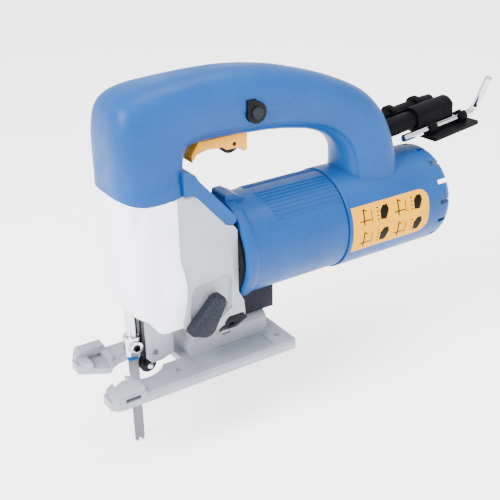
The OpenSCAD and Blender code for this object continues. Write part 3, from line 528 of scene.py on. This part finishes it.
def handle_shell(node, side):
    obj = make_object(node + "_shell", handle_form(), "blue")
    bar = prism_y("bar", rounded_outline([
        (-9, 134, 0), (-2.2, 134, 0), (20.6, 107.6, 0), (25.5, 105.8, 1.5), (29, 108.5, 1.5),
        (28, 112.5, 2), (2, 142.5, 4), (-0.6, 147, 0), (-9, 150, 0)]), -28, 28)
    boolean(obj, "UNION", bar)
    cover_nose = prism_y("nose", head_edge(0.15) + [(SEAM_X + 0.5, 125), (-60, 125)], -40, 40)
    seat = box_mesh("seat", (SEAM_X - 0.5, -2.2), (-40, 40), (125, 134))
    barrel = cylinder("barrel", (110, 0, MOTOR_Z), (200, 0, MOTOR_Z), 37.65, 160)
    baffle = cylinder("baffle", (28.95, 0, MOTOR_Z), (60, 0, MOTOR_Z), 34.05, 160)
    slot = prism_y("slot", rounded_outline([
        (7.5, 140, 0), (52.5, 140, 0), (52.5, 164, 3), (7.5, 164, 3)]), -8.5, 8.5)
    low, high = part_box("lock_button")
    middle = (low + high) / 2 / MM
    bezel_hole = cylinder("bezel_hole", (middle.x, -40, middle.z), (middle.x, 0, middle.z), 7.5)
    bezel_tab = box_mesh("tab", (middle.x - 7.5, middle.x + 0.1), (-40, -16.8), (middle.z, middle.z + 9.2))
    guard = Matrix.Rotation(math.radians(6), 3, "Z") @ Matrix.Rotation(math.radians(-3.5), 3, "Y")
    guard_start = Vector((176, 0, 134))
    along = guard @ Vector((1, 0, 0))
    guard_hole = cylinder("guard_hole", guard_start - 16 * along, guard_start + 20 * along, 7.2)
    seam = 0.06
    other_half = box_mesh("half", (-80, 200), (-seam, 60) if side < 0 else (-60, seam), (80, 230))
    boolean(obj, "DIFFERENCE", handle_form(SHELL_WALL), cover_nose, seat, barrel, baffle, slot, guard_hole)
    if side < 0:
        boolean(obj, "DIFFERENCE", bezel_hole, bezel_tab)
    boolean(obj, "DIFFERENCE", other_half)
    round_edges(obj, 0, angle=34)
    return finish_piece(obj, "housing", "blue_plastic", node)


# ---- front cover ----

# Heights and insets of the cover's plan towards the nose's lower rim
NOSE = [(52, 7.6), (52.6, 6.6), (54, 5.2), (56.5, 3.5), (62, 1.4), (68, 0.4), (75, 0), (140, 0)]
# The seam between the cover and the gear housing, on the outside, as (x, z)
SEAM = [(-14.5, 140), (-14.5, 110), (-14.5, 93), (-12.9, 84), (-11.2, 73), (-11.1, 64),
        (-12.4, 54), (-14.3, 46), (-14.5, 41), (-14.5, 30)]
COVER_WALL = 3.4
COVER_REAR_X = -4
COVER_HALF_WIDTH = 28.5
COVER_MIDDLE_X = -25.5
COVER_REACH = 24.5
COVER_POWER = 2 / 3.6
COVER_SIDES = 120


def cover_ring(z, inset):
    """The cover's plan at a height, drawn in by inset at the nose and far less at the sides."""
    half_width = COVER_HALF_WIDTH - 0.08 * inset
    ring = [at(COVER_REAR_X, half_width, z)]
    for i in range(COVER_SIDES + 1):
        t = math.pi / 2 + math.pi * i / COVER_SIDES
        x = COVER_MIDDLE_X + (COVER_REACH - inset) * power_sign(math.cos(t), COVER_POWER)
        ring.append(at(x, half_width * power_sign(math.sin(t), COVER_POWER), z))
    ring.append(at(COVER_REAR_X, -half_width, z))
    return ring


def ellipsoid(name, centre, radii):
    """Round pad; its poles point along Z."""
    rings = []
    for i in range(1, 32):
        a = math.pi * i / 32
        ring = []
        for k in range(64):
            t = 2 * math.pi * k / 64
            ring.append(at(centre[0] + radii[0] * math.sin(a) * math.cos(t),
                           centre[1] + radii[1] * math.sin(a) * math.sin(t),
                           centre[2] - radii[2] * math.cos(a)))
        rings.append(ring)
    return loft(name, rings)


def front_cover():
    cover = loft("cover", [cover_ring(z, inset) for z, inset in spline_points(NOSE, 4)])
    obj = make_object("front_cover_shell", cover, "white")
    for side in (-1, 1):
        low, high = sorted((side * 9, side * 27.95))
        cheek = prism_y("cheek", rounded_outline([
            (-4, 41.5, 0), (-28.5, 41.5, 2), (-33, 43.6, 3), (-34.6, 54, 0), (-4, 56, 0)]), low, high)
        boolean(obj, "UNION", cheek)
        boolean(obj, "UNION", ellipsoid("pad", (-18.5, side * 25.6, 72), (12.4, 5.2, 23)))
    lid = prism_y("lid", head_edge(0) + [(SEAM_X + 12, 133.1), (SEAM_X + 12, 160), (-60, 160)], -40, 40)
    rear = prism_y("rear", spline_points(SEAM, 6) + [(10, 30), (10, 140)], -40, 40)
    cavity = loft("cavity", [
        [p - Vector((0, math.copysign(COVER_WALL, p.y), 0)) * MM for p in cover_ring(z, COVER_WALL)]
        for z in (70, 128)])
    plunger_x = (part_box("plunger_rod")[0].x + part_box("plunger_rod")[1].x) / 2 / MM
    bore = cylinder("bore", (plunger_x, 0, 40), (plunger_x, 0, 160), 4.6)
    arm_slot = box_mesh("arm_slot", (-36, -24.5), (-5.6, 5.6), (40, 60))
    boolean(obj, "DIFFERENCE", lid, rear, cavity, bore, arm_slot)
    for side in (-1, 1):
        pocket = cylinder("pocket", (-41.4, side * 32, 128.6), (-41.4, side * 24.6, 128.6), 5.2)
        scoop = cylinder("scoop", (-46, side * 36, 40), (-35.4, side * 25, 48.6), 5.6)
        boolean(obj, "DIFFERENCE", pocket, scoop)
    round_edges(obj, 0.5, 2, angle=38)
    return finish_piece(obj, "housing", "white_cover", "front_cover")


def gear_housing_seam(obj):
    """Lets the front cover's bulging edge into the sides, and deepens the recess behind the lever."""
    seam = spline_points(SEAM, 6)
    for side in (-1, 1):
        low, high = sorted((side * 24, side * 40))
        edge = [(x + 0.25, z) for x, z in seam] + [(-30, 30), (-30, 140)]
        boolean(obj, "DIFFERENCE", prism_y("seam", edge, low, high))
    recess = prism_y("recess", rounded_outline([
        (-9.3, 39.5, 2), (-9, 52, 6), (-7.5, 64, 4), (-4, 69.8, 4), (20.5, 71.6, 5), (24.6, 66, 5),
        (23.2, 54, 6), (20, 45, 2), (10, 39.5, 2)]), -31, -25.9)
    boolean(obj, "DIFFERENCE", recess)


# ---- motor ----

RIB_COUNT = 9


def barrel_prism(name, angle, x, half_w, r_low, r_high):
    """A bar along X on the barrel, at an angle from the top towards the left."""
    turn = math.radians(angle)
    out = Vector((0, -math.sin(turn), math.cos(turn)))
    across = Vector((0, math.cos(turn), math.sin(turn)))
    axis = Vector((0, 0, MOTOR_Z))
    rings = []
    corners = [(r_low, -half_w), (r_low, half_w), (r_high - half_w * 0.4, half_w),
               (r_high, half_w * 0.5), (r_high, -half_w * 0.5), (r_high - half_w * 0.4, -half_w)]
    for px in x:
        rings.append([(axis + Vector((px, 0, 0)) + out * r + across * w) * MM for r, w in corners])
    return loft(name, rings)


def motor_housing():
    profile = [(31.5, 33), (31.5, 37.2), (31.8, 37.8), (32.4, 38), (38.0, 38), (38.6, 37.8), (39.2, 37.0),
               (40.4, 36.4), (42, 36.3), (116.9, 36.3), (117.4, 35.8), (117.4, 34.9), (149.5, 34.9),
               (150, 34.4), (150, 33)]
    obj = make_object("motor_housing_shell", lathe("motor", profile, MOTOR_Z), "blue")
    bars = []
    for side in (-1, 1):
        for i in range(RIB_COUNT):
            bars.append(barrel_prism("rib", -side * (10 + 5 * i), (57 + 0.6 * i, 117), 0.7, 35, 36.9))
    key = prism_y("key", rounded_outline([
        (32, 112, 0), (32, 119, 2), (39, 119, 4), (47.5, 114, 3), (47.5, 111, 0)]), -9, 9)
    boolean(obj, "UNION", *bars, key)
    round_edges(obj, 0, angle=30)
    return finish_piece(obj, "housing", "blue_plastic", "motor_housing")


VENT_COUNT = 15
REAR_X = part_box("rear_cover")[1].x / MM


def rear_cover():
    corner = 10
    radius = 37.6
    arc = [(REAR_X - corner + corner * math.sin(math.radians(a)),
            radius - corner + corner * math.cos(math.radians(a))) for a in range(0, 91, 6)]
    profile = [(118, 35), (118, 37.2), (118.4, 37.6)] + arc + [(REAR_X, 6), (REAR_X - 2.6, 6),
               (REAR_X - 2.6, radius - corner), (REAR_X - 9, radius - 6), (REAR_X - 18, 35)]
    obj = make_object("rear_cover_shell", lathe("rear", profile, MOTOR_Z), "blue")
    cap = cylinder("cap", (REAR_X - 2.6, 0, MOTOR_Z), (REAR_X, 0, MOTOR_Z), 8, 96)
    boolean(obj, "UNION", cap)
    cuts = []
    for i in range(VENT_COUNT):
        cuts.append(barrel_prism("vent", 12 + 360 * i / VENT_COUNT, (REAR_X - 14, REAR_X + 2), 1.7, 18, 42))
    boolean(obj, "DIFFERENCE", *cuts)
    boolean(obj, "DIFFERENCE", box_mesh("wires", (138, 160), (-8, 8), (MOTOR_Z + 25, MOTOR_Z + 50)))
    round_edges(obj, 0, angle=30)
    return finish_piece(obj, "housing", "blue_plastic", "rear_cover")


# ---- label ----


def on_barrel(x, angle, radius):
    turn = math.radians(angle)
    return at(x, -radius * math.sin(turn), MOTOR_Z + radius * math.cos(turn))


# An angle of one degree on the barrel, in millimetres along its face
DEGREE = 0.65
LABEL_TOP, LABEL_BOTTOM = 61.5, 114.5
LABEL_CORNER = 9
LABEL_R = 37.62


def barrel_patch(name, outline, radius, thick):
    """A closed patch on the barrel from an outline of (x, angle) points."""
    step = 1.5
    centre_x = sum(p[0] for p in outline) / len(outline)
    centre_a = sum(p[1] for p in outline) / len(outline)
    dense = []
    for (xa, aa), (xb, ab) in zip(outline, outline[1:] + outline[:1]):
        count = max(1, int(math.hypot(xb - xa, (ab - aa) * DEGREE) / step))
        dense += [(xa + (xb - xa) * k / count, aa + (ab - aa) * k / count) for k in range(count)]
    rings = 10
    points = [on_barrel(centre_x, centre_a, radius + thick)]
    faces = []
    n = len(dense)
    for ring in range(1, rings + 1):
        f = ring / rings
        points += [on_barrel(centre_x + (x - centre_x) * f, centre_a + (a - centre_a) * f, radius + thick)
                   for x, a in dense]
    for i in range(n):
        j = (i + 1) % n
        faces.append((0, 1 + i, 1 + j))
        for ring in range(rings - 1):
            a, b = 1 + ring * n, 1 + (ring + 1) * n
            faces.append((a + i, b + i, b + j, a + j))
    low = len(points)
    points += [on_barrel(x, a, radius) for x, a in dense]
    top = 1 + (rings - 1) * n
    for i in range(n):
        j = (i + 1) % n
        faces.append((top + i, low + i, low + j, top + j))
    faces.append(tuple(low + i for i in range(n)))
    return mesh_from(name, points, faces)


def rating_label():
    low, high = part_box("rating_label")
    x0, x1 = low.x / MM, high.x / MM
    turns = [math.radians(90 * k / 6) for k in range(7)]
    across = [(LABEL_CORNER * math.sin(a), (LABEL_CORNER - LABEL_CORNER * math.cos(a)) * 1.52) for a in turns]
    down = [(LABEL_CORNER * math.cos(a), (LABEL_CORNER - LABEL_CORNER * math.sin(a)) * 1.52) for a in turns]
    outline = [(x0, LABEL_BOTTOM), (x0, LABEL_TOP)]
    outline += [(x1 - LABEL_CORNER + x, LABEL_TOP + a) for x, a in across]
    outline += [(x1 - LABEL_CORNER + x, LABEL_BOTTOM - a) for x, a in down]
    obj = make_object("rating_label_film", barrel_patch("label", outline, LABEL_R, 0.22), "label")
    for face in obj.data.polygons:
        face.use_smooth = True
    obj.data.set_sharp_from_angle(angle=math.radians(40))
    finish_piece(obj, "housing", "label_film", "rating_label")
    pictures = []
    columns = (x0 + 19, x0 + 51)
    rows = (75, 101)
    for cx in columns:
        for cy in rows:
            pictures += pictogram(cx, cy)
    mesh = bpy.data.meshes.new("label_marks")
    work = bmesh.new()
    for outline in pictures:
        work.from_mesh(barrel_patch("mark", outline, LABEL_R + 0.20, 0.09))
    work.to_mesh(mesh)
    work.free()
    marks = make_object("label_marks", mesh, "ink")
    finish_piece(marks, "housing", "label_film")


def stroke(xa, aa, xb, ab, width=0.7):
    """Outline of a straight stroke on the barrel, its width in millimetres."""
    direction = Vector((xb - xa, (ab - aa) * DEGREE)).normalized()
    side = Vector((-direction.y, direction.x)) * width / 2
    return [(xa + side.x, aa + side.y / DEGREE), (xb + side.x, ab + side.y / DEGREE),
            (xb - side.x, ab - side.y / DEGREE), (xa - side.x, aa - side.y / DEGREE)]


def pictogram(cx, cy):
    """A blade over a line, a gauge arrow and a lever: one setting of the orbital action."""
    marks = [stroke(cx - 13, cy + 4, cx - 3, cy + 4, 0.8), stroke(cx - 9, cy - 9, cx - 9, cy + 9, 1.1),
             stroke(cx - 9, cy - 9, cx - 6, cy - 6, 0.8), stroke(cx - 2, cy - 7, cx - 2, cy + 7, 0.6)]
    for k in range(4):
        marks.append(stroke(cx + 3, cy - 7 + k * 4.4, cx + 4.6, cy - 7 + k * 4.4, 0.8))
    marks.append([(cx + 6, cy + 7), (cx + 6, cy - 3), (cx + 9, cy - 8), (cx + 13, cy - 8),
                  (cx + 14, cy - 2), (cx + 11, cy + 8)])
    return marks


# ---- build everything ----

paint_cad_nodes()
add_camera()
add_floor()
add_world()
add_light("key_light", (-0.75, -0.25, 0.75), 0.5, 22)
add_light("top_light", (0.3, -0.2, 1.1), 0.5, 10)

handle_shell("handle_left", -1)
handle_shell("handle_right", 1)
front_cover()
motor_housing()
rear_cover()
rating_label()
rounded_copy("gear_housing", 0.8, extra=gear_housing_seam)
for name, width in (("base_plate", 0.6), ("orbital_lever", 0.7), ("clamp_block", 0.7),
                    ("trigger", 0.6), ("lock_bezel", 0.4), ("lock_button", 0.4), ("key_holder", 0.5),
                    ("cord_guard", 0.4), ("roller_bracket", 0.5), ("blade_clamp", 0.4), ("roller_arm", 0.4),
                    ("hex_key", 0.15)):
    rounded_copy(name, width)
rounded_copy("dust_nozzle", 0.5, "nozzle")
